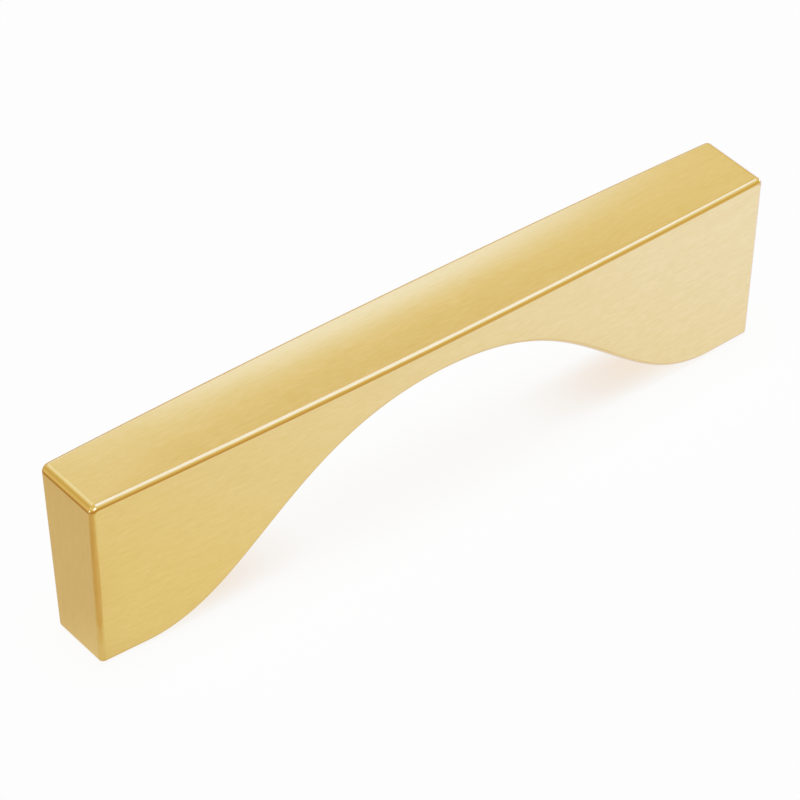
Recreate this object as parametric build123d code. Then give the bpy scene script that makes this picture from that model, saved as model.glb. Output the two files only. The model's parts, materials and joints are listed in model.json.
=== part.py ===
from build123d import *
import os
from math import radians, tan

# Arched bar pull for a drawer or cabinet door, cast in one piece and brushed.
# Millimetres. +X runs along the bar, -Y is its front face, +Z points away from the door to the domed top.
# The origin is in the mounting plane, midway between the two feet.

# Driving dimensions
hole_spacing = 128.0  # centre to centre of the two screw holes
hole_to_end = 6.0  # screw hole's centre to the end of the bar, at the top
hole_to_toe = 4.0  # screw hole's centre to where the foot starts to curve up
bar_height = 34.2  # mounting plane to the edges of the top face
top_crown = 0.42  # how much higher the top face is domed at its middle
crown_thickness = 6.5  # metal left above the arch at mid length
end_thickness = 14.2  # front to back at the ends, at the top
face_bulge = 1.15  # how far each long face swells out at mid length
draft_angle = 1.65  # degrees that the faces and ends lean in towards the feet
toe_reach = 21.0  # how far the arch's curve keeps the direction of the foot
crown_reach = 31.6  # how far the arch's curve keeps the direction of the crown
top_end_round = 1.5  # radius between the top face and each end
edge_round = 1.0  # radius along the edges of both long faces and under each end
screw_hole_diameter = 3.3  # tapping size of the screw thread
screw_hole_depth = 12.0  # full diameter, measured from the mounting plane
hole_mouth_chamfer = 0.5  # lead-in at the hole's mouth
drill_point_angle = 118.0  # degrees, the cone at the bottom of the hole

# Sizes that follow from them
half_length = hole_spacing / 2 + hole_to_end
half_base = half_length - bar_height * tan(radians(draft_angle))
toe_x = hole_spacing / 2 - hole_to_toe
arch_height = bar_height - crown_thickness
hole_radius = screw_hole_diameter / 2
half_width = end_thickness / 2 + face_bulge
end_overrun = bar_height  # how far the plan runs past the ends
headroom = 2.0  # how far the profile and the plan run on above the top face, and the dome past its sides


def side_profile():
    """Outline seen from the front: leaning ends, flat feet and the arch, running on above the top face."""
    toe = (toe_x, 0)
    crown = (0, arch_height)
    shoulder = (half_length + headroom * tan(radians(draft_angle)), bar_height + headroom)
    right_arch = Bezier(crown, (crown_reach, arch_height), (toe_x - toe_reach, 0), toe)
    right_side = Polyline(toe, (half_base, 0), shoulder, (0, shoulder[1]))
    right_half = Curve() + [right_arch, right_side]
    outline = right_half + mirror(right_half, about=Plane.YZ)
    return make_face(outline.edges())


def plan_outline():
    """Outline seen from above, headroom above the top face: two long sides swelling at mid length."""
    flare = headroom * tan(radians(draft_angle))
    bulge_radius = (half_length**2 + face_bulge**2) / (2 * face_bulge) + flare
    middle_y = half_width + flare
    reach_x = half_length + end_overrun
    reach_y = middle_y - bulge_radius + (bulge_radius**2 - reach_x**2) ** 0.5
    back_side = ThreePointArc((-reach_x, reach_y), (0, middle_y), (reach_x, reach_y))
    front_side = mirror(back_side, about=Plane.XZ)
    ends = [Line((x, -reach_y), (x, reach_y)) for x in (-reach_x, reach_x)]
    return make_face([back_side, front_side, *ends])


def parabola(half_span, reach):
    """Control points of an arch that is 1 at the middle and 0 at half_span, drawn on to reach."""
    past = 1 - (reach / half_span) ** 2
    return ((-reach, past), (0, 2 - past), (reach, past))


def domed_block():
    """Everything under the top face, which rises as one parabola along the bar times one across it."""
    along = parabola(half_length, half_length + headroom)
    across = parabola((end_thickness - edge_round) / 2, half_width + headroom)
    dome = [[(x, y, bar_height + top_crown * u * v) for y, v in across] for x, u in along]
    return extrude(Face.make_bezier_surface(dome), 2 * bar_height, dir=(0, 0, -1))


def screw_hole():
    """Blind hole for the screw thread, opening downwards: lead-in, straight wall and drill point."""
    point_height = hole_radius / tan(radians(drill_point_angle / 2))
    section = Polyline(
        (0, 0),
        (hole_radius + hole_mouth_chamfer, 0),
        (hole_radius, hole_mouth_chamfer),
        (hole_radius, screw_hole_depth),
        (0, screw_hole_depth + point_height),
        close=True,
    )
    return revolve(Plane.XZ * make_face(section), Axis.Z)


def pull_body():
    """The casting: the side profile cut to the plan and the dome, its edges rounded, and a hole up into each foot."""
    full_height = bar_height + headroom
    profile = extrude(Plane.XZ * side_profile(), 2 * half_width, both=True)
    plan = extrude(Plane.XY.offset(full_height) * plan_outline(), -full_height, taper=draft_angle)
    body = profile & plan & domed_block()
    top_face = body.faces().sort_by(Axis.Z)[-1]
    top_ends = top_face.edges().sort_by(Axis.X)
    body = fillet([top_ends[0], top_ends[-1]], top_end_round)
    long_faces = body.faces().sort_by(Axis.Y)
    face_edges = long_faces[0].edges() + long_faces[-1].edges()
    base_edges = body.edges().filter_by(Axis.Y).group_by(Axis.Z)[0].sort_by(Axis.X)
    body = fillet(face_edges + [base_edges[0], base_edges[-1]], edge_round)
    holes = [Pos(x, 0, 0) * screw_hole() for x in (-hole_spacing / 2, hole_spacing / 2)]
    return body - holes


os.makedirs("parts", exist_ok=True)
export_step(pull_body(), "parts/pull_body.step")
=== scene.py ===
"""Arched bar pull, brushed brass finish: the casting's surface, its finish and the stage it is shown on."""

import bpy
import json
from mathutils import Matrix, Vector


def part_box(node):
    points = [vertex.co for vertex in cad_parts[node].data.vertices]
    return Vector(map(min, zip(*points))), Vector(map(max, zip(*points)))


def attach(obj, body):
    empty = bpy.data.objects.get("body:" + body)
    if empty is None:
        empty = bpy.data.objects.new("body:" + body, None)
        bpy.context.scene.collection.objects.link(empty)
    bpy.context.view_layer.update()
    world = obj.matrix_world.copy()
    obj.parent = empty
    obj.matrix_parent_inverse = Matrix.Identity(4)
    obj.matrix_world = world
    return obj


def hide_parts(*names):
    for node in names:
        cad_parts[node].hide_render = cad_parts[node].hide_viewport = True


bl_info = {
    "name": "Arched Bar Pull",
    "version": (1, 0, 0),
    "blender": (4, 5, 0),
    "location": "View3D > Sidebar > Bar Pull",
    "description": "Builds a brushed arched bar pull and the plain stage that it stands on",
    "category": "Add Mesh",
}

import json
import math

import bpy
import numpy as np
from bpy.props import FloatProperty, FloatVectorProperty, PointerProperty
from mathutils import Matrix, Vector

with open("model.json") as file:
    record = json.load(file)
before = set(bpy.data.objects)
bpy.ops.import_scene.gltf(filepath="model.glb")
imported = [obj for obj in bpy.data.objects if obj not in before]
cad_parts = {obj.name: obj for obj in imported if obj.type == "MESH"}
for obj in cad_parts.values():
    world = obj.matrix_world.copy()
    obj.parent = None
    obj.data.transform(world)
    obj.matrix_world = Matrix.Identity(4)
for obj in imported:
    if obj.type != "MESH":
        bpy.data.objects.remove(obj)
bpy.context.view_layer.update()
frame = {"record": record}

MM = 0.001
TOP_CROWN = 0.42 * MM
BODY_NODE = "pull_body"
HOLE_PATTERN = next(m["dims"] for m in frame["record"]["mounts"] if m["kind"] == "bolt_pattern")
HOLE_WALL = next(m["dims"] for m in frame["record"]["mounts"] if m["kind"] == "threaded_hole")

# Names of the casting's UV map and attributes
BRUSH_MAP = "brush"
ROUNDING = "rounding"
EDGE_PAINTED_REFLECTION = "edge_painted_reflection"

# Changes of sign that mirror a point (x, y, z) front to back, and a point (x, z) end to end
FRONT_TO_BACK = np.array([1.0, -1.0, 1.0])
END_TO_END = np.array([-1.0, 1.0])

# Share of the edge colour, a painted dark reflection, along the long faces' edges, by how far the rim there
# faces up
RIM_FACING = (-1, -0.4, 0, 0.3, 1)
RIM_PAINTED_REFLECTION = (0.45, 0.4, 0.15, 0.8, 1)
FRONT_EDGE_PAINTED_REFLECTION = 0.72
BACK_EDGE_PAINTED_REFLECTION = 0.4

# How far up the surface faces where that share is gone, and how much less where it is full
FRONT_FADE = (0.7, 0.35)
BACK_FADE = (0.997, 0.02)

# Share of the edge colour, a painted dark reflection, over the rounded top ends, by how far the surface
# faces up
END_FACING = (0.03, 0.19, 0.34, 0.48, 0.6, 0.7, 0.79, 0.9)
END_PAINTED_REFLECTION = (0.2, 0.8, 0.5, 0, 0, 0.7, 0.8, 0)

# The brush marks' noise swings about its middle, and longer and broader marks count less than fine ones
NOISE_MIDDLE = 0.5
LONG_MARKS = 0.6
BROAD_MARKS = 0.4

# Point that the softboxes face
LAMP_AIM = (0, 0, 0.03)

# Softboxes: name, place, width and height, brightness setting, times that brightness, colour
CORNER_BLUE = (0.24, 0.34, 1)
SOFTBOXES = (
    ("overhead_softbox", (0.17, -0.09, 0.46), (0.4, 0.42), "overhead_light", 1.0, (0.12, 0.24, 1)),
    ("back_softbox", (0.34, 0.86, 0.5), (0.62, 0.17), "back_light", 1.0, (0.115, 0.25, 1)),
    ("side_softbox", (-0.06, 0.61, 0.82), (0.52, 0.45), "side_light", 1.0, (0.19, 0.35, 1)),
    ("near_softbox", (-0.275, -0.67, 0.44), (0.4, 0.4), "corner_light", 1.0, CORNER_BLUE),
    ("right_softbox", (0.4, -0.01, 0.02), (0.16, 0.036), "corner_light", 1.5, CORNER_BLUE),
    ("left_softbox", (-0.4, 0.03, 0.04), (0.12, 0.05), "corner_light", 1.5, CORNER_BLUE),
)

# The reflector card's glow along its diagonal, from far behind and left of the pull to its front right
BOUNCE_STOPS = (
    (-0.3, (0.92, 0.8, 0.62)),
    (-0.132, (0.66, 0.47, 0.32)),
    (-0.108, (0.6, 0.42, 0.28)),
    (-0.09, (0.77, 0.69, 0.62)),
    (-0.056, (0.77, 0.69, 0.63)),
    (-0.047, (0.85, 0.79, 0.74)),
    (-0.036, (0.94, 0.93, 0.94)),
    (-0.02, (0.955, 0.945, 0.955)),
    (0.08, (1.08, 1.21, 2.2)),
)
BOUNCE_PEAK = 2.3

# The card's dim part in front of the pull, at the left and at the right
DIM_LEFT = (0.7, 0.47, 0.23)
DIM_RIGHT = (1.05, 1.0, 0.8)

# Start and end of the changes to that dim part: in front, left to right, and off the near corner
DIM_FORWARD = (-0.055, -0.09)
DIM_SIDEWAYS = (0.0, 0.11)
CORNER_ACROSS = (-0.0555, -0.061)
CORNER_ALONG = ((-0.085, -0.07), (-0.018, -0.03))
CORNER_SHARE = 0.56

# The card lies just above the floor, and the floor just under the feet
CARD_REACH = 1.5
CARD_Z = 0.02 * MM
FLOOR_Z = -0.05 * MM

# Start and end of the changes to a foot's shadow, which is deeper there and takes a painted warm tint, as
# distances from the middle: along the bar and across
FOOT_ALONG = ((0.022, 0.052), (0.064, 0.058))
FOOT_ACROSS = (0.008, 0.001)

# Heights in the sky, as a direction's z, where the low tint ends and where the high tint comes in
LOW_SKY_BAND = (0.26, 0.52)
HIGH_SKY_BAND = (0.6, 0.78)


# Properties


def length(name, description, default):
    """A size in metres, shown in the scene's length unit."""
    return FloatProperty(name=name, description=description, default=default, unit="LENGTH", precision=5)


def angle(name, description, degrees):
    """An angle, given in degrees and kept in radians."""
    return FloatProperty(name=name, description=description, default=math.radians(degrees), subtype="ANGLE")


def share(name, description, default):
    """A plain number from 0 to 1."""
    return FloatProperty(name=name, description=description, default=default, min=0, max=1, subtype="FACTOR")


def level(name, description, default):
    """A brightness, where 1 is white."""
    return FloatProperty(name=name, description=description, default=default, min=0)


def colour(name, description, default):
    """A linear colour."""
    return FloatVectorProperty(
        name=name, description=description, default=default, subtype="COLOR", min=0, max=1
    )


class PullSizes(bpy.types.PropertyGroup):
    """Sizes of the casting."""

    hole_spacing: length("Hole spacing", "Between the holes' centres", HOLE_PATTERN["spacing_x_mm"] * MM)
    hole_to_end: length("Hole to end", "Hole's centre to the end of the bar, at the top", 6.0 * MM)
    hole_to_toe: length("Hole to toe", "Hole's centre to where the foot curves up", 4.0 * MM)
    top_crown: length("Top crown", "How much higher the top face is domed at its middle", TOP_CROWN)
    bar_height: length("Height", "Mounting plane to the top's edges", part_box(BODY_NODE)[1].z - TOP_CROWN)
    crown_thickness: length("Crown thickness", "Metal above the arch at mid length", 6.5 * MM)
    end_thickness: length("End thickness", "Front to back at the ends, at the top", 14.2 * MM)
    face_bulge: length("Face bulge", "How far each long face swells at mid length", 1.15 * MM)
    draft: angle("Draft", "Lean of the faces and ends towards the feet", 1.65)
    toe_reach: length("Toe reach", "How far the arch keeps the direction of the foot", 21.0 * MM)
    crown_reach: length("Crown reach", "How far the arch keeps the direction of the crown", 31.6 * MM)
    top_end_round: length("Top end round", "Radius between the top face and each end", 1.5 * MM)
    edge_round: length("Edge round", "Radius along the edges of the long faces", 1.0 * MM)
    hole_radius: length("Hole radius", "Tapping radius of the screw hole", HOLE_WALL["r_mm"] * MM)
    hole_wall: length("Hole wall", "Straight wall of the screw hole", HOLE_WALL["length_mm"] * MM)
    hole_chamfer: length("Hole chamfer", "Lead-in at the hole's mouth", 0.5 * MM)
    drill_point: angle("Drill point", "Cone angle at the bottom of the hole", 118.0)
    thread_pitch: length("Thread pitch", "Rise of the screw thread in one turn", 0.7 * MM)
    thread_depth: length("Thread depth", "How deep the thread is cut into the wall", 0.33 * MM)


class PullFinish(bpy.types.PropertyGroup):
    """Colours and grain of the brushed metal."""

    face_colour: colour("Face colour", "Brushed faces", (0.77, 0.575, 0.186))
    # The edge colour is a painted dark reflection, laid on the rounded edges by which way they face.
    painted_reflection_colour: colour("Edge colour", "Polished rounded edges", (0.55, 0.31, 0.045))
    hole_colour: colour("Hole colour", "Bare metal of the tapped holes", (0.46, 0.44, 0.41))
    face_roughness: share("Face roughness", "Across the brushed faces", 0.3)
    edge_roughness: share("Edge roughness", "On the rounded edges", 0.18)
    hole_roughness: share("Hole roughness", "In the tapped holes", 0.35)
    streak_width: length("Streak width", "Across one brush mark", 0.5 * MM)
    streak_length: length("Streak length", "Along one brush mark", 2.1 * MM)
    streak_colour: colour("Streak colour", "How far marks change the face colour", (0.075, 0.096, 0.265))
    streak_roughness: share("Streak roughness", "How far marks change the roughness", 0.04)
    streak_bump: share("Streak bump", "How strongly marks tilt the surface", 0.01)
    streak_depth: length("Streak depth", "Height of the marks as relief", 0.2 * MM)
    tool_width: length("Tool mark width", "Across one cutting mark in the holes", 0.08 * MM)
    tool_length: length("Tool mark length", "Along one cutting mark in the holes", 2.0 * MM)
    tool_colour: share("Tool mark colour", "How far cutting marks change the holes' colour", 0.5)
    tool_roughness: share("Tool mark roughness", "How far they change the roughness", 0.2)


class StageSettings(bpy.types.PropertyGroup):
    """Floor, light and camera."""

    floor_colour: colour("Floor colour", "Plain pale floor", (0.982, 0.982, 0.982))
    floor_reach: length("Floor reach", "Half the floor's width", 3.0)
    arch_shadow: colour("Arch shadow", "Share that a shadow takes under the arch", (0.035, 0.045, 0.062))
    # The foot shadow's warm tint is painted: it stands for light that the brass throws down by the feet.
    foot_shadow: colour("Foot shadow", "The same by the feet, where it is warmer", (0.175, 0.32, 0.39))
    sky_strength: level("Sky strength", "Plain light from all round", 1.0)
    high_sky: colour("High sky", "Tint of the light from high up", (0.87, 0.78, 0.62))
    low_sky: colour("Low sky", "Tint of the light from the horizon", (0.87, 0.75, 0.55))
    overhead_light: level("Overhead light", "Brightness of the softbox above", 2.9)
    back_light: level("Back light", "Brightness of the softbox behind", 3.8)
    side_light: level("Side light", "Brightness of the softbox high behind", 1.04)
    corner_light: level("Corner light", "Brightness of the softboxes that only the corners mirror", 7.0)
    shadow_softness: angle("Shadow softness", "Width of the light that casts the shadows", 28.0)
    azimuth: angle("Azimuth", "Camera's turn round the pull", -37.864)
    elevation: angle("Elevation", "Camera's height above the horizon", 39.579)
    roll: angle("Roll", "Camera's tilt about its own axis", -0.208)
    distance: length("Distance", "Camera to the point it looks at", 0.7566)
    aim: FloatVectorProperty(
        name="Aim", description="Point the camera looks at", default=(-0.0033, 0, 0.0178), subtype="XYZ"
    )
    lens: FloatProperty(name="Lens", description="Focal length in millimetres", default=205.14)


# The casting's form


class PullForm:
    """Places that follow from the casting's sizes. Points of the side outline are (x, z)."""

    def __init__(self, sizes):
        self.height = sizes.bar_height
        self.round = sizes.edge_round
        self.lean = math.tan(sizes.draft)
        self.end_normal = np.array([math.cos(sizes.draft), -math.sin(sizes.draft)])
        self.end_angle = math.atan2(*self.end_normal[::-1])
        self.hole_x = sizes.hole_spacing / 2
        self.half_length = self.hole_x + sizes.hole_to_end
        self.half_base = self.half_length - self.height * self.lean
        self.toe_x = self.hole_x - sizes.hole_to_toe
        self.arch_height = self.height - sizes.crown_thickness
        self.toe_reach = sizes.toe_reach
        self.crown_reach = sizes.crown_reach
        self.half_middle = sizes.end_thickness / 2 + sizes.face_bulge
        self.bulge_radius = (self.half_length**2 + sizes.face_bulge**2) / (2 * sizes.face_bulge)
        self.top_crown = sizes.top_crown
        self.half_flat = (sizes.end_thickness - sizes.edge_round) / 2
        self.top_round = sizes.top_end_round
        self.foot_centre = self.end_centre(self.round, self.round)
        self.top_centre = self.end_centre(self.height - self.top_round, self.top_round)

    def end_centre(self, z, radius):
        """Centre, at height z, of a circle of this radius that touches the right end from inside."""
        return np.array([self.half_base + z * self.lean - radius / self.end_normal[0], z])

    def dome(self, x, y):
        """Rise of the top face above its edges: the crown times a parabola along the bar and one across it.
        Gives the rise and its slopes along x and y."""
        along, across = 1 - (x / self.half_length) ** 2, 1 - (y / self.half_flat) ** 2
        slope_x = -2 * self.top_crown * x / self.half_length**2 * across
        slope_y = -2 * self.top_crown * y / self.half_flat**2 * along
        return self.top_crown * along * across, slope_x, slope_y

    def front_face(self, x, z):
        """Front long face: y is minus the bowed half thickness, plus the draft times the depth below the
        top. Gives y, the unit normal and the length that the normal had with its y at 1."""
        root = np.sqrt(self.bulge_radius**2 - x**2)
        y = self.bulge_radius - self.half_middle - root + (self.height - z) * self.lean
        normal = np.stack([x / root, -np.ones_like(x), np.full_like(x, -self.lean)], -1)
        steepness = np.linalg.norm(normal, axis=-1)
        return y, normal / steepness[..., None], steepness


def directions(start, end, count):
    """Unit vectors in the side outline's plane, their angle going evenly from start to end."""
    a = np.linspace(start, end, count + 1)
    return np.stack([np.cos(a), np.sin(a)], -1)


def lower_rim(form, x, samples=2400):
    """Underside at the given x of its inset line, left to right: flat foot, then the arch's curve.
    The arch is a cubic curve of t with four control points; inset and normal come from its slope.
    Gives the inset points and the normals."""
    t = np.linspace(0, 1, samples)[:, None]
    s = 1 - t
    crown, toe = np.array([0, form.arch_height]), np.array([form.toe_x, 0])
    crown_hold, toe_hold = crown + [form.crown_reach, 0], toe - [form.toe_reach, 0]
    curve = s**3 * crown + 3 * s**2 * t * crown_hold + 3 * s * t**2 * toe_hold + t**3 * toe
    slope = s**2 * (crown_hold - crown) + 2 * s * t * (toe_hold - crown_hold) + t**2 * (toe - toe_hold)
    normal = np.stack([slope[:, 1], -slope[:, 0]], -1) / np.linalg.norm(slope, axis=1, keepdims=True)
    inset = curve - form.round * normal
    reach = np.abs(x)
    z = np.interp(reach, inset[:, 0], inset[:, 1])
    nx = np.interp(reach, inset[:, 0], normal[:, 0]) * np.sign(x)
    return np.stack([x, z], -1), np.stack([nx, -np.sqrt(1 - nx**2)], -1)


def outline_sides(form, columns, rows, corner):
    """The four sides of the side outline, each as (inset points, outward normals), inset by the edge radius.
    Columns divide the straight top, rows each straight end, and corner each half of a rounded top end."""
    halfway = math.pi / 4 + form.end_angle / 2
    small = form.top_round - form.round
    up = np.array([0.0, 1.0])

    end_line = np.linspace(form.foot_centre, form.top_centre + small * form.end_normal, rows + 1)
    end_turn = directions(form.end_angle, halfway, corner)[1:]
    end_normals = np.concatenate([np.tile(form.end_normal, (rows + 1, 1)), end_turn])
    right = np.concatenate([end_line, form.top_centre + small * end_turn]), end_normals
    left = right[0] * END_TO_END, right[1] * END_TO_END

    top_turn = directions(math.pi / 2, halfway, corner)
    top_right = form.top_centre + small * top_turn
    top_line = np.linspace(top_right[0] * END_TO_END, top_right[0], columns + 1)
    top_points = np.concatenate([top_right[:0:-1] * END_TO_END, top_line, top_right[1:]])
    flat_normals = np.tile(up, (columns + 1, 1))
    top_normals = np.concatenate([top_turn[:0:-1] * END_TO_END, flat_normals, top_turn[1:]])

    bottom = lower_rim(form, top_points[:, 0] * form.foot_centre[0] / top_points[-1, 0])
    return {"bottom": bottom, "right": right, "top": (top_points, top_normals), "left": left}


def outline_loop(form, sides, corner):
    """The closed side outline, counter-clockwise from the left foot: underside, a turn under the right end,
    right end, top, left end, and a turn under the left end. Gives inset points and normals."""
    right_turn = directions(-math.pi / 2, form.end_angle, corner)[1:-1]
    foot = np.tile(form.foot_centre, (len(right_turn), 1))
    turns = (foot, right_turn), (foot * END_TO_END, (right_turn * END_TO_END)[::-1])

    def joined(part):
        bottom, right, top, left = (sides[name][part] for name in ("bottom", "right", "top", "left"))
        once = np.concatenate([bottom, turns[0][part], right, top[-2:0:-1], left[::-1], turns[1][part]])
        return np.concatenate([once, once[:1]])

    return joined(0), joined(1)


def run_length(points, axis=0):
    """Length along a polyline, from its first point."""
    steps = np.linalg.norm(np.diff(points, axis=axis), axis=-1)
    return np.concatenate([np.zeros_like(np.take(steps, [0], axis)), np.cumsum(steps, axis)], axis)


def unit(vectors):
    """Vectors brought to length 1."""
    return vectors / np.linalg.norm(vectors, axis=-1, keepdims=True)


def surface_grid(points, normals, brush, polish=None, painted_reflection_share=None, bore=False):
    """A grid of points with its normals and brush map, how far each point is polished and takes the edge
    colour, a painted dark reflection, and whether it belongs to a hole."""
    none = np.zeros(points.shape[:2])
    polish = none if polish is None else polish
    painted_reflection_share = none if painted_reflection_share is None else painted_reflection_share
    return dict(points=points, normals=normals, brush=brush, polish=polish, painted_reflection_share=painted_reflection_share, bore=bore)


def rim_surface(form, loop, y):
    """The rim at the given y, for every point of the outline: straight across, and lifted by the dome where
    the rim faces up. Gives points and unit normals."""
    inset, normal = loop
    px, pz = (inset + form.round * normal).T[:, :, None]
    nx, nz = normal.T[:, :, None]
    upward = np.clip(nz, 0, None) ** 2
    rise, slope_x, slope_y = form.dome(px, y)
    points = np.stack(np.broadcast_arrays(px, y, pz + upward * rise), -1)
    return points, unit(np.stack(np.broadcast_arrays(nx - upward * slope_x, -upward * slope_y, nz), -1))


def edge_painted_reflection(rim_facing, normals, rounded, turned):
    """Share of the edge colour, a painted dark reflection that depends on which way the surface faces. On
    the long faces' edges it is set by where the rim faces, and fades out as the surface turns up, later on
    the back. Over the top ends it follows how far the surface faces up."""
    up = normals[..., 2]
    place = np.interp(rim_facing, RIM_FACING, RIM_PAINTED_REFLECTION)[:, None]

    def faded(gone, span):
        return place * np.clip((gone - up) / span, 0, 1)

    along_edge = FRONT_EDGE_PAINTED_REFLECTION * faded(*FRONT_FADE)
    behind = BACK_EDGE_PAINTED_REFLECTION * (normals[..., 1] > 0) * faded(*BACK_FADE)
    over_end = (turned * (rim_facing > 0))[:, None] * np.interp(up, END_FACING, END_PAINTED_REFLECTION)
    return np.where(rounded > 0, np.maximum(along_edge, behind), over_end)


def rim_band(form, loop, corner_rows, arc, across):
    """The band round the outline: a ball of the edge radius rolls along it, touching the front face and the
    rim. Its arc goes from the face's normal to the rim's; rows cross to the back, where the arc is mirrored.
    The arcs, and the rows that turn a corner, are polished."""
    touch = -np.full((len(loop[0]), 1), form.half_middle)
    for _ in range(8):
        point, rim_normal = rim_surface(form, loop, touch)
        ball = point - form.round * rim_normal
        y, face_normal, steepness = form.front_face(ball[..., 0], ball[..., 2])
        touch = touch + y + form.round * steepness - ball[..., 1]
    sweep = np.arccos((face_normal * rim_normal).sum(-1))[..., None]
    t = np.linspace(0, 1, arc + 1)[None, :, None]
    turn = (np.sin((1 - t) * sweep) * face_normal + np.sin(t * sweep) * rim_normal) / np.sin(sweep)
    front = ball + form.round * turn
    rim, rim_normals = rim_surface(form, loop, touch * np.linspace(1, -1, across + 1)[1:-1])
    points = np.concatenate([front, rim, front[:, ::-1] * FRONT_TO_BACK], axis=1)
    normals = np.concatenate([turn, rim_normals, turn[:, ::-1] * FRONT_TO_BACK], axis=1)

    along = run_length(points[:, points.shape[1] // 2])[:, None]
    brush = np.stack(np.broadcast_arrays(along, run_length(points, 1)), -1)
    rounded = np.concatenate([[0], np.ones(arc - 1), np.zeros(across + 1), np.ones(arc - 1), [0]])
    turned = np.isin(np.arange(len(points)), corner_rows)
    polish = np.maximum(rounded, turned[:, None])
    # The last grid is each point's share of the painted dark reflection on the edges.
    return surface_grid(points, normals, brush, polish, edge_painted_reflection(loop[1][:, 1], normals, rounded, turned))


def long_face(form, bottom, right, top, left):
    """The front face between its four edges: each point is the edges' points blended across and along, less
    the blended corners, and its y is the face's own."""
    u = ((top[:, 0] - top[0, 0]) / (top[-1, 0] - top[0, 0]))[:, None, None]
    v = ((right[:, 2] - right[0, 2]) / (right[-1, 2] - right[0, 2]))[None, :, None]
    sides = (1 - v) * bottom[:, None] + v * top[:, None] + (1 - u) * left[None] + u * right[None]
    corners = (1 - v) * ((1 - u) * bottom[0] + u * bottom[-1]) + v * ((1 - u) * top[0] + u * top[-1])
    points = sides - corners
    y, normals, _ = form.front_face(points[..., 0], points[..., 2])
    points[1:-1, 1:-1, 1] = y[1:-1, 1:-1]
    return surface_grid(points, normals, points[..., [0, 2]])


def mirrored_back(grid):
    """The same grid on the back: y and the normal's y change sign."""
    return {**grid, "points": grid["points"] * FRONT_TO_BACK, "normals": grid["normals"] * FRONT_TO_BACK}


def ring_of(points, columns, rows):
    """Points round the edge of a block of a grid, once round and back to the first."""
    block = points[columns[0] : columns[1] + 1, rows[0] : rows[1] + 1]
    return np.concatenate([block[:-1, 0], block[-1, :-1], block[:0:-1, -1], block[0, :0:-1], block[:1, 0]])


def turned_grid(centre, direction, radius, z, slope):
    """A surface round a vertical axis: radius and height change from row to row, and slope is the normal's z
    for a normal that points to the axis with length 1."""
    direction = np.broadcast_to(direction, (*z.shape, 2))
    points = np.concatenate([centre + direction * radius[..., None], z[..., None]], -1)
    normals = unit(np.concatenate([-direction, np.broadcast_to(slope, z.shape)[..., None]], -1))
    around = np.arctan2(direction[..., 1], direction[..., 0]) * radius.max()
    return surface_grid(points, normals, np.stack([around, z], -1), bore=True)


def screw_hole(sizes, centre, ring, rows_per_turn=12):
    """Everything inside a square on the foot's flat: flat round the mouth, lead-in cone, threaded wall and
    drill point. The wall's radius is the tapping radius plus half the thread's depth times one plus a cosine
    of the height in pitches less the turn, faded out at both ends."""
    direction = unit(ring[:, :2] - centre)[:, None]
    turn = np.unwrap(np.arctan2(direction[..., 1], direction[..., 0]), axis=0)
    mouth = sizes.hole_radius + sizes.hole_chamfer
    top = sizes.hole_chamfer + sizes.hole_wall
    point = sizes.hole_radius / math.tan(sizes.drill_point / 2)

    def rows(start, end, count):
        return np.broadcast_to(np.linspace(start, end, count + 1), (len(ring), count + 1))

    mix = np.linspace(0, 1, 4)[None, :, None]
    rim = np.concatenate([centre + direction[:, 0] * mouth, np.zeros((len(ring), 1))], -1)
    flat_points = (1 - mix) * ring[:, None] + mix * rim[:, None]
    down = np.broadcast_to([0.0, 0.0, -1.0], flat_points.shape)
    flat = surface_grid(flat_points, down, flat_points[..., :2])

    lead_in = rows(mouth, sizes.hole_radius, 2)
    cone = turned_grid(centre, direction, lead_in, rows(0, sizes.hole_chamfer, 2), -1.0)

    z = rows(sizes.hole_chamfer, top, round(sizes.hole_wall / sizes.thread_pitch * rows_per_turn))
    phase = 2 * math.pi * z / sizes.thread_pitch - turn
    fade = np.clip(np.minimum(z - sizes.hole_chamfer, top - z) / sizes.thread_pitch, 0, 1)
    wave = sizes.thread_depth / 2 * fade
    steep = -wave * np.sin(phase) * 2 * math.pi / sizes.thread_pitch
    wall = turned_grid(centre, direction, sizes.hole_radius + wave * (1 + np.cos(phase)), z, steep)

    drill_tip = rows(sizes.hole_radius, 0, 4)
    bottom = turned_grid(centre, direction, drill_tip, rows(top, top + point, 4), -sizes.hole_radius / point)
    return [flat, cone, wall, bottom]


def grid_faces(grid, skip):
    """Corner numbers of a grid's quads, turned to face along its normals, less the skipped blocks."""
    m, n = grid["points"].shape[:2]
    index = np.arange(m * n).reshape(m, n)
    quads = np.stack([index[:-1, :-1], index[1:, :-1], index[1:, 1:], index[:-1, 1:]], -1)
    keep = np.ones((m - 1, n - 1), bool)
    for columns, rows in skip:
        keep[columns[0] : columns[1], rows[0] : rows[1]] = False
    quads = quads[keep]
    p, normals = grid["points"].reshape(-1, 3), grid["normals"].reshape(-1, 3)
    facing = np.cross(p[quads[:, 2]] - p[quads[:, 0]], p[quads[:, 3]] - p[quads[:, 1]])
    if (facing * normals[quads].mean(1)).sum() < 0:
        quads = quads[:, ::-1]
    return quads


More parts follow.
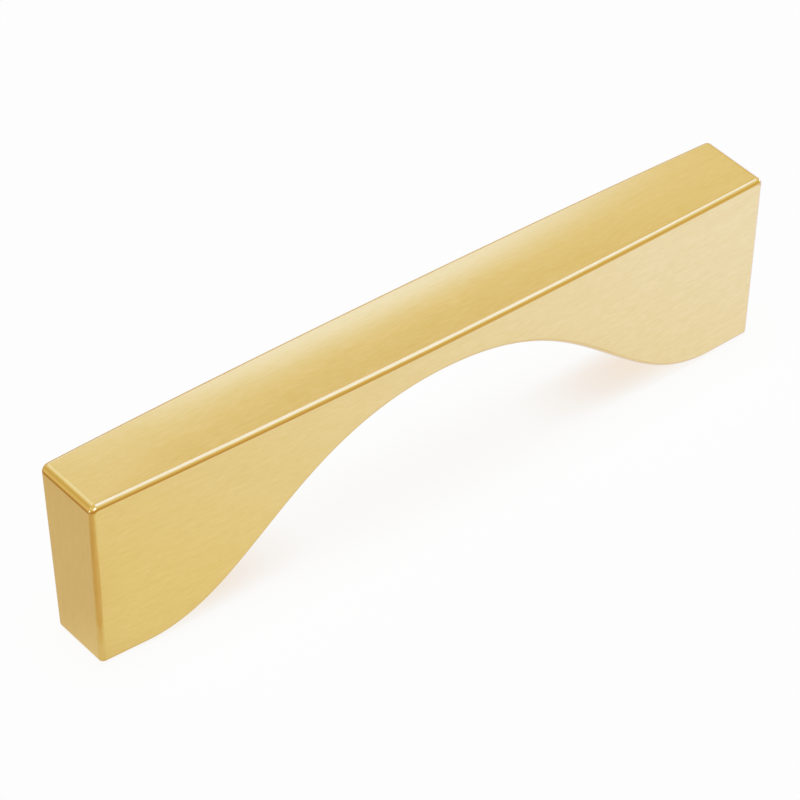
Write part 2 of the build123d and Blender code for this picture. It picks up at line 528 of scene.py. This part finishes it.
def mesh_from_grids(name, grids):
    """One closed mesh from pairs of a grid and its skipped blocks. Points that grids share at their edges
    are merged, and a quad that loses a corner that way becomes a triangle. Normals, brush map, polish and
    the share of painted dark reflection stay each grid's own."""
    points = np.concatenate([g["points"].reshape(-1, 3) for g, _ in grids])
    starts = np.cumsum([0] + [g["points"].shape[0] * g["points"].shape[1] for g, _ in grids])
    faces = [grid_faces(g, skip) for g, skip in grids]
    bores = np.concatenate([np.full(len(f), int(g["bore"])) for f, (g, _) in zip(faces, grids)])
    quads = np.concatenate([f + start for f, start in zip(faces, starts)])
    _, first, merged = np.unique(np.round(points, 9), axis=0, return_index=True, return_inverse=True)
    corners = merged.reshape(-1)[quads]
    keep = corners != np.roll(corners, -1, axis=1)
    sides = keep.sum(1)
    used, corners = np.unique(corners[keep], return_inverse=True)
    source = quads[keep]

    def at_corners(key, *width):
        return np.concatenate([g[key].reshape(-1, *width) for g, _ in grids])[source].astype(np.float32)

    mesh = bpy.data.meshes.new(name)
    mesh.vertices.add(len(used))
    mesh.vertices.foreach_set("co", points[first[used]].astype(np.float32).ravel())
    mesh.loops.add(len(corners))
    mesh.loops.foreach_set("vertex_index", corners.reshape(-1).astype(np.int32))
    mesh.polygons.add(len(sides))
    mesh.polygons.foreach_set("loop_start", np.concatenate([[0], np.cumsum(sides)[:-1]]).astype(np.int32))
    mesh.polygons.foreach_set("material_index", bores.astype(np.int32))
    mesh.polygons.foreach_set("use_smooth", np.ones(len(sides), bool))
    mesh.uv_layers.new(name=BRUSH_MAP).uv.foreach_set("vector", at_corners("brush", 2).ravel())
    # The polish, and the share of the painted dark reflection, go to the mesh as corner attributes.
    for attribute, key in ((ROUNDING, "polish"), (EDGE_PAINTED_REFLECTION, "painted_reflection_share")):
        mesh.attributes.new(attribute, "FLOAT", "CORNER").data.foreach_set("value", at_corners(key))
    mesh.update(calc_edges=True)
    mesh.normals_split_custom_set(at_corners("normals", 3))
    return mesh


def casting_mesh(sizes, columns=220, rows=20, corner=9, arc=12, across=16):
    """The whole casting: band round the outline, both long faces, and a tapped hole in each foot's flat."""
    form = PullForm(sizes)
    sides = outline_sides(form, columns, rows, corner)
    loop = outline_loop(form, sides, 2 * corner)
    n_bottom, n_end = len(sides["bottom"][0]), len(sides["right"][0])
    right_at = n_bottom + 2 * corner - 1
    top_at = right_at + n_end - 1
    left_at = top_at + n_bottom - 1
    top_turns = np.arange(1 - corner, corner)
    foot_turns = np.arange(1, 2 * corner)
    corner_rows = [top_turns + top_at, top_turns + left_at]
    corner_rows += [foot_turns + n_bottom - 1, foot_turns + left_at + n_end - 1]
    band = rim_band(form, loop, np.concatenate(corner_rows), arc, across)

    edge = band["points"][:, 0]
    bottom = edge[:n_bottom]
    right = edge[right_at : right_at + n_end]
    top = edge[top_at : top_at + n_bottom][::-1]
    left = edge[left_at : left_at + n_end][::-1]
    front = long_face(form, bottom, right, top, left)

    flat_rows = (arc + across // 4, arc + across - across // 4)
    half_square = sizes.hole_radius + 1.5 * MM
    blocks, holes = [], []
    for x in (-form.hole_x, form.hole_x):
        near = np.searchsorted(bottom[:, 0], [x - half_square, x + half_square])
        blocks.append((near, flat_rows))
        holes += screw_hole(sizes, np.array([x, 0.0]), ring_of(band["points"], near, flat_rows))
    plain = [front, mirrored_back(front), *holes]
    return mesh_from_grids(BODY_NODE, [(band, blocks)] + [(grid, ()) for grid in plain])


# Finishes


def add(tree, kind, inputs=None, **settings):
    """A new node with these settings. An input's value is set, or linked where it is a socket."""
    made = tree.nodes.new(kind)
    for key, value in settings.items():
        setattr(made, key, value)
    for key, value in (inputs or {}).items():
        if isinstance(value, bpy.types.NodeSocket):
            tree.links.new(value, made.inputs[key])
        else:
            made.inputs[key].default_value = value
    return made


def calc(tree, operation, *values):
    """Result of a sum on plain values."""
    return add(tree, "ShaderNodeMath", dict(enumerate(values)), operation=operation).outputs[0]


def vector_calc(tree, operation, *vectors):
    """Result of a sum on vectors or colours."""
    made = add(tree, "ShaderNodeVectorMath", dict(enumerate(vectors)), operation=operation)
    return made.outputs["Value" if operation == "DOT_PRODUCT" else "Vector"]


def blend(tree, factor, first, second):
    """Colour that goes from the first to the second as the factor goes from 0 to 1."""
    ends = [c if isinstance(c, bpy.types.NodeSocket) else (*c, 1) for c in (first, second)]
    return add(tree, "ShaderNodeMix", {0: factor, 6: ends[0], 7: ends[1]}, data_type="RGBA").outputs[2]


def step(tree, value, start, end, shape="SMOOTHSTEP"):
    """Goes from 0 at start to 1 at end, smoothly or in a straight line."""
    span = {"Value": value, "From Min": start, "From Max": end}
    return add(tree, "ShaderNodeMapRange", span, interpolation_type=shape).outputs[0]


def grain_group():
    """Brush marks: noise stretched along the brush map, fine marks over longer and broader ones. Its outputs
    are a height, and a shade that swings evenly to both sides of zero."""
    group = bpy.data.node_groups.new("brush_marks", "ShaderNodeTree")
    face = group.interface
    face.new_socket("Brush", in_out="INPUT", socket_type="NodeSocketVector")
    face.new_socket("Width", in_out="INPUT", socket_type="NodeSocketFloat")
    face.new_socket("Length", in_out="INPUT", socket_type="NodeSocketFloat")
    face.new_socket("Height", in_out="OUTPUT", socket_type="NodeSocketFloat")
    face.new_socket("Shade", in_out="OUTPUT", socket_type="NodeSocketFloat")
    start = add(group, "NodeGroupInput").outputs
    end = add(group, "NodeGroupOutput").inputs

    def marks(longer, wider, detail):
        along = calc(group, "MULTIPLY", start["Length"], longer)
        across = calc(group, "MULTIPLY", start["Width"], wider)
        size = add(group, "ShaderNodeCombineXYZ", {"X": along, "Y": across, "Z": 1.0}).outputs[0]
        place = vector_calc(group, "DIVIDE", start["Brush"], size)
        texture = {"Vector": place, "Scale": 1.0, "Detail": detail}
        noise = add(group, "ShaderNodeTexNoise", texture, noise_dimensions="2D").outputs["Fac"]
        return calc(group, "SUBTRACT", noise, NOISE_MIDDLE)

    fine = marks(longer=1.0, wider=1.0, detail=1.0)
    long = marks(longer=4.5, wider=2.2, detail=1.0)
    broad = marks(longer=4.0, wider=6.0, detail=2.0)
    shade = calc(group, "MULTIPLY_ADD", long, LONG_MARKS, fine)
    shade = calc(group, "MULTIPLY_ADD", broad, BROAD_MARKS, shade)
    group.links.new(fine, end["Height"])
    group.links.new(shade, end["Shade"])
    return group


def metal(name):
    """A new plain metal. Gives the material, its nodes, its shader and the brush map."""
    material = bpy.data.materials.new(name)
    material.use_nodes = True
    tree = material.node_tree
    shader = tree.nodes["Principled BSDF"]
    shader.inputs["Metallic"].default_value = 1.0
    return material, tree, shader, add(tree, "ShaderNodeUVMap", uv_map=BRUSH_MAP).outputs[0]


def brushed_metal(finish, marks):
    """Brushed brass: marks along the brush map on the faces, and a smoother finish on the edges, where a
    deeper gold is painted as dark reflection.
    """
    material, tree, shader, brush = metal("brushed_brass_finish")
    polish = add(tree, "ShaderNodeAttribute", attribute_name=ROUNDING).outputs["Fac"]
    painted_reflection_share = add(tree, "ShaderNodeAttribute", attribute_name=EDGE_PAINTED_REFLECTION).outputs["Fac"]
    streak = {"Brush": brush, "Width": finish.streak_width, "Length": finish.streak_length}
    height, shade = add(tree, "ShaderNodeGroup", streak, node_tree=marks).outputs

    swing = np.array(finish.face_colour) * finish.streak_colour
    face = vector_calc(tree, "MULTIPLY_ADD", shade, swing, finish.face_colour)
    # The edge colour blended in here is a painted dark reflection on the rounded edges.
    tree.links.new(blend(tree, painted_reflection_share, face, finish.painted_reflection_colour), shader.inputs["Base Color"])

    rough = calc(tree, "MULTIPLY_ADD", shade, finish.streak_roughness, finish.face_roughness)
    rough = add(tree, "ShaderNodeMix", {0: polish, 2: rough, 3: finish.edge_roughness}).outputs[0]
    tree.links.new(rough, shader.inputs["Roughness"])

    relief = {"Strength": finish.streak_bump, "Distance": finish.streak_depth, "Height": height}
    tree.links.new(add(tree, "ShaderNodeBump", relief).outputs[0], shader.inputs["Normal"])
    return material


def tapped_metal(finish, marks):
    """Bare cut metal of the tapped holes, with the tool's fine marks running round the wall."""
    material, tree, shader, brush = metal("tapped_hole_finish")
    tool_mark = {"Brush": brush, "Width": finish.tool_width, "Length": finish.tool_length}
    shade = add(tree, "ShaderNodeGroup", tool_mark, node_tree=marks).outputs["Shade"]
    swing = np.array(finish.hole_colour) * finish.tool_colour
    bare = vector_calc(tree, "MULTIPLY_ADD", shade, swing, finish.hole_colour)
    tree.links.new(bare, shader.inputs["Base Color"])
    rough = calc(tree, "MULTIPLY_ADD", shade, finish.tool_roughness, finish.hole_roughness)
    tree.links.new(rough, shader.inputs["Roughness"])
    return material


class PULL_OT_casting(bpy.types.Operator):
    """Build the casting's surface with its brushed finish"""

    bl_idname = "bar_pull.casting"
    bl_label = "Casting"

    def execute(self, context):
        scene = context.scene
        mesh = casting_mesh(scene.pull_sizes)
        marks = grain_group()
        mesh.materials.append(brushed_metal(scene.pull_finish, marks))
        mesh.materials.append(tapped_metal(scene.pull_finish, marks))
        piece = bpy.data.objects.new("brushed_casting", mesh)
        scene.collection.objects.link(piece)
        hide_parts(BODY_NODE)
        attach(piece, "root")
        return {"FINISHED"}


# The stage


def stage_card(name, reach, z, material):
    """A square stage surface at height z, reaching this far each way from the middle."""
    square = np.array([[-1, -1, 0], [1, -1, 0], [1, 1, 0], [-1, 1, 0]]) * reach + [0, 0, z]
    mesh = bpy.data.meshes.new(name)
    mesh.from_pydata(square.tolist(), [], [(0, 1, 2, 3)])
    card = bpy.data.objects.new(name, mesh)
    mesh.materials.append(material)
    bpy.context.scene.collection.objects.link(card)
    return card


def bare_material(name):
    """A new material with no shader yet. Gives the material, its nodes and the object's own coordinates."""
    material = bpy.data.materials.new(name)
    material.use_nodes = True
    tree = material.node_tree
    tree.nodes.clear()
    return material, tree, add(tree, "ShaderNodeTexCoord").outputs["Object"]


def bounce_material():
    """Glow of the reflector lying on the floor, seen only in the metal: dim far behind and to the left,
    warm grey by the left end, cool white at the right, and dim and warm again well in front and off the
    corner."""
    material, tree, place = bare_material("bounce")
    along = vector_calc(tree, "DOT_PRODUCT", place, (0.7, -0.7, 0))
    across = vector_calc(tree, "DOT_PRODUCT", place, (0.7, 0.7, 0))
    sideways, forward, _ = add(tree, "ShaderNodeSeparateXYZ", {0: place}).outputs

    def of_peak(rgb):
        return [part / BOUNCE_PEAK for part in rgb]

    first, last = BOUNCE_STOPS[0][0], BOUNCE_STOPS[-1][0]
    ramp = add(tree, "ShaderNodeValToRGB", {"Fac": step(tree, along, first, last, "LINEAR")})
    elements = ramp.color_ramp.elements
    for at, _ in BOUNCE_STOPS[2:]:
        elements.new((at - first) / (last - first))
    for element, (at, rgb) in zip(elements, BOUNCE_STOPS):
        element.position = (at - first) / (last - first)
        element.color = (*of_peak(rgb), 1)

    corner = step(tree, across, *CORNER_ACROSS)
    for span in CORNER_ALONG:
        corner = calc(tree, "MULTIPLY", corner, step(tree, along, *span))
    corner = calc(tree, "MULTIPLY", corner, CORNER_SHARE)
    front = calc(tree, "MAXIMUM", step(tree, forward, *DIM_FORWARD), corner)
    dim = blend(tree, step(tree, sideways, *DIM_SIDEWAYS), of_peak(DIM_LEFT), of_peak(DIM_RIGHT))
    glow = {"Color": blend(tree, front, ramp.outputs[0], dim), "Strength": BOUNCE_PEAK}
    light = add(tree, "ShaderNodeEmission", glow).outputs[0]
    add(tree, "ShaderNodeOutputMaterial", {"Surface": light})
    return material


def floor_material(stage):
    """Plain pale floor. It glows with most of its colour, and the rest needs the light from above, so a
    shadow takes only that share. The share is small under the arch, and larger by the feet, where the
    shadow's warm tint is painted: it stands for light that the brass throws down."""
    material, tree, place = bare_material("pale_floor")
    place = vector_calc(tree, "ABSOLUTE", place)
    along, across, _ = add(tree, "ShaderNodeSeparateXYZ", {0: place}).outputs
    by_foot = step(tree, across, *FOOT_ACROSS)
    for span in FOOT_ALONG:
        by_foot = calc(tree, "MULTIPLY", by_foot, step(tree, along, *span))
    # By the feet the shadow is deeper and its warm tint is painted.
    shadow = blend(tree, by_foot, stage.arch_shadow, stage.foot_shadow)
    lit_colour = vector_calc(tree, "MULTIPLY", stage.floor_colour, shadow)
    own_colour = vector_calc(tree, "SUBTRACT", stage.floor_colour, lit_colour)
    lit = add(tree, "ShaderNodeBsdfDiffuse", {"Color": lit_colour}).outputs[0]
    own = add(tree, "ShaderNodeEmission", {"Color": own_colour}).outputs[0]
    both = add(tree, "ShaderNodeAddShader", {0: lit, 1: own}).outputs[0]
    add(tree, "ShaderNodeOutputMaterial", {"Surface": both})
    return material


def make_ground(stage):
    """The floor, and the reflector card just above it, which only the metal sees."""
    stage_card("floor", stage.floor_reach, FLOOR_Z, floor_material(stage))
    bounce = stage_card("bounce", CARD_REACH, CARD_Z, bounce_material())
    bounce.visible_camera = False
    bounce.visible_diffuse = False
    bounce.visible_shadow = False


def softbox(name, place, size, brightness, rgb):
    """An area lamp that faces the pull, seen only in the metal. Its power gives the asked brightness:
    brightness times pi times its area."""
    data = bpy.data.lights.new(name, "AREA")
    data.shape = "RECTANGLE"
    data.size, data.size_y = size
    data.energy = brightness * math.pi * size[0] * size[1]
    data.color = rgb
    lamp = bpy.data.objects.new(name, data)
    lamp.location = place
    lamp.rotation_euler = (Vector(place) - Vector(LAMP_AIM)).to_track_quat("Z", "Y").to_euler()
    lamp.visible_camera = False
    lamp.visible_diffuse = False
    bpy.context.scene.collection.objects.link(lamp)


def make_lamps(stage):
    """The softboxes that the metal mirrors, and a wide light from straight above for the floor's shadows."""
    for name, place, size, setting, times, rgb in SOFTBOXES:
        softbox(name, place, size, times * getattr(stage, setting), rgb)
    data = bpy.data.lights.new("floor_light", "SUN")
    data.energy = math.pi
    data.angle = stage.shadow_softness
    above = bpy.data.objects.new("floor_light", data)
    above.visible_glossy = False
    bpy.context.scene.collection.objects.link(above)


def make_sky(stage):
    """A plain white world, tinted at the horizon and high up, that lights the metal and not the floor."""
    world = bpy.data.worlds.new("studio")
    world.use_nodes = True
    tree = world.node_tree
    sky = tree.nodes["Background"]
    direction = add(tree, "ShaderNodeTexCoord").outputs["Generated"]
    height = add(tree, "ShaderNodeSeparateXYZ", {0: direction}).outputs["Z"]
    above_horizon = step(tree, height, *LOW_SKY_BAND, "LINEAR")
    high_up = step(tree, height, *HIGH_SKY_BAND, "LINEAR")
    tint = blend(tree, above_horizon, stage.low_sky, (1, 1, 1))
    tree.links.new(blend(tree, high_up, tint, stage.high_sky), sky.inputs["Color"])
    sky.inputs["Strength"].default_value = stage.sky_strength
    world.cycles_visibility.diffuse = False
    bpy.context.scene.world = world


def make_camera(stage):
    """The camera, turned round the pull and raised above the horizon, looking at the aim."""
    data = bpy.data.cameras.new("camera")
    data.lens = stage.lens
    camera = bpy.data.objects.new("camera", data)
    a, e = stage.azimuth, stage.elevation
    back = Vector((math.sin(a) * math.cos(e), -math.cos(a) * math.cos(e), math.sin(e)))
    right = Vector((math.cos(a), math.sin(a), 0))
    up = back.cross(right)
    turn = Matrix((right, up, back)).transposed() @ Matrix.Rotation(stage.roll, 3, "Z")
    camera.matrix_world = Matrix.Translation(Vector(stage.aim) + back * stage.distance) @ turn.to_4x4()
    bpy.context.scene.collection.objects.link(camera)
    bpy.context.scene.camera = camera


class PULL_OT_stage(bpy.types.Operator):
    """Make the floor, the light and the camera"""

    bl_idname = "bar_pull.stage"
    bl_label = "Stage"

    def execute(self, context):
        stage = context.scene.pull_stage
        make_ground(stage)
        make_lamps(stage)
        make_sky(stage)
        make_camera(stage)
        context.scene.view_settings.view_transform = "Standard"
        return {"FINISHED"}


# Panel and registration


class PULL_PT_panel(bpy.types.Panel):
    """Sizes, finish and stage of the pull"""

    bl_label = "Bar Pull"
    bl_idname = "PULL_PT_panel"
    bl_space_type = "VIEW_3D"
    bl_region_type = "UI"
    bl_category = "Bar Pull"

    def draw(self, context):
        scene = context.scene
        groups = (scene.pull_sizes, None), (scene.pull_finish, "casting"), (scene.pull_stage, "stage")
        for group, operator in groups:
            box = self.layout.box()
            for name in group.__annotations__:
                box.prop(group, name)
            if operator:
                box.operator(f"bar_pull.{operator}")


CLASSES = (PullSizes, PullFinish, StageSettings, PULL_OT_casting, PULL_OT_stage, PULL_PT_panel)
SETTINGS = {"pull_sizes": PullSizes, "pull_finish": PullFinish, "pull_stage": StageSettings}


def register():
    """Registers the classes and hangs the settings on the scene."""
    for cls in CLASSES:
        bpy.utils.register_class(cls)
    for name, group in SETTINGS.items():
        setattr(bpy.types.Scene, name, PointerProperty(type=group))


def unregister():
    """Takes the settings off the scene and the classes away."""
    for name in SETTINGS:
        delattr(bpy.types.Scene, name)
    for cls in reversed(CLASSES):
        bpy.utils.unregister_class(cls)


def main():
    """Builds the pull and its stage."""
    register()
    bpy.ops.bar_pull.casting()
    bpy.ops.bar_pull.stage()


if __name__ == "__main__":
    main()
